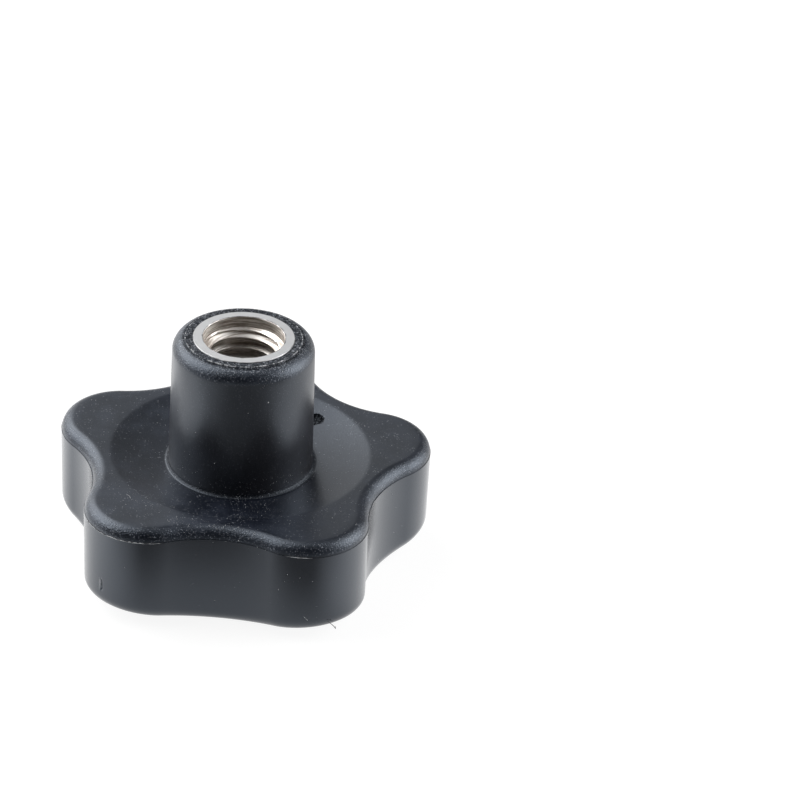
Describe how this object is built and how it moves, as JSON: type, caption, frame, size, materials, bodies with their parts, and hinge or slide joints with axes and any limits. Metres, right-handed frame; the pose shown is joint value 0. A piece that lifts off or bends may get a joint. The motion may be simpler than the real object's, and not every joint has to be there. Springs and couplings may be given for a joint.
{
  "type": "star knob",
  "caption": "Star-shaped clamping knob: a black moulded grip with finger scallops, a dished crown and a long round hub boss that holds a blind threaded metal bush.",
  "frame": {"origin": "centre of the bush's seating face at the end of the hub boss, on the thread's axis", "axes": "+Z out of the boss along the thread's axis, +Y through the tip of one lobe; the knob rests on the rim of its dish, 31 mm below the origin"},
  "size_m": [0.0484, 0.0467, 0.031],
  "materials": {
    "black_moulding": "fine satin, blue-black, straight from the mould",
    "bush_metal": "turned, pale matt grey face and bright bore"
  },
  "bodies": {
    "root": {"grip_body": "black_moulding", "threaded_insert": "bush_metal"}
  },
  "joints": []
}
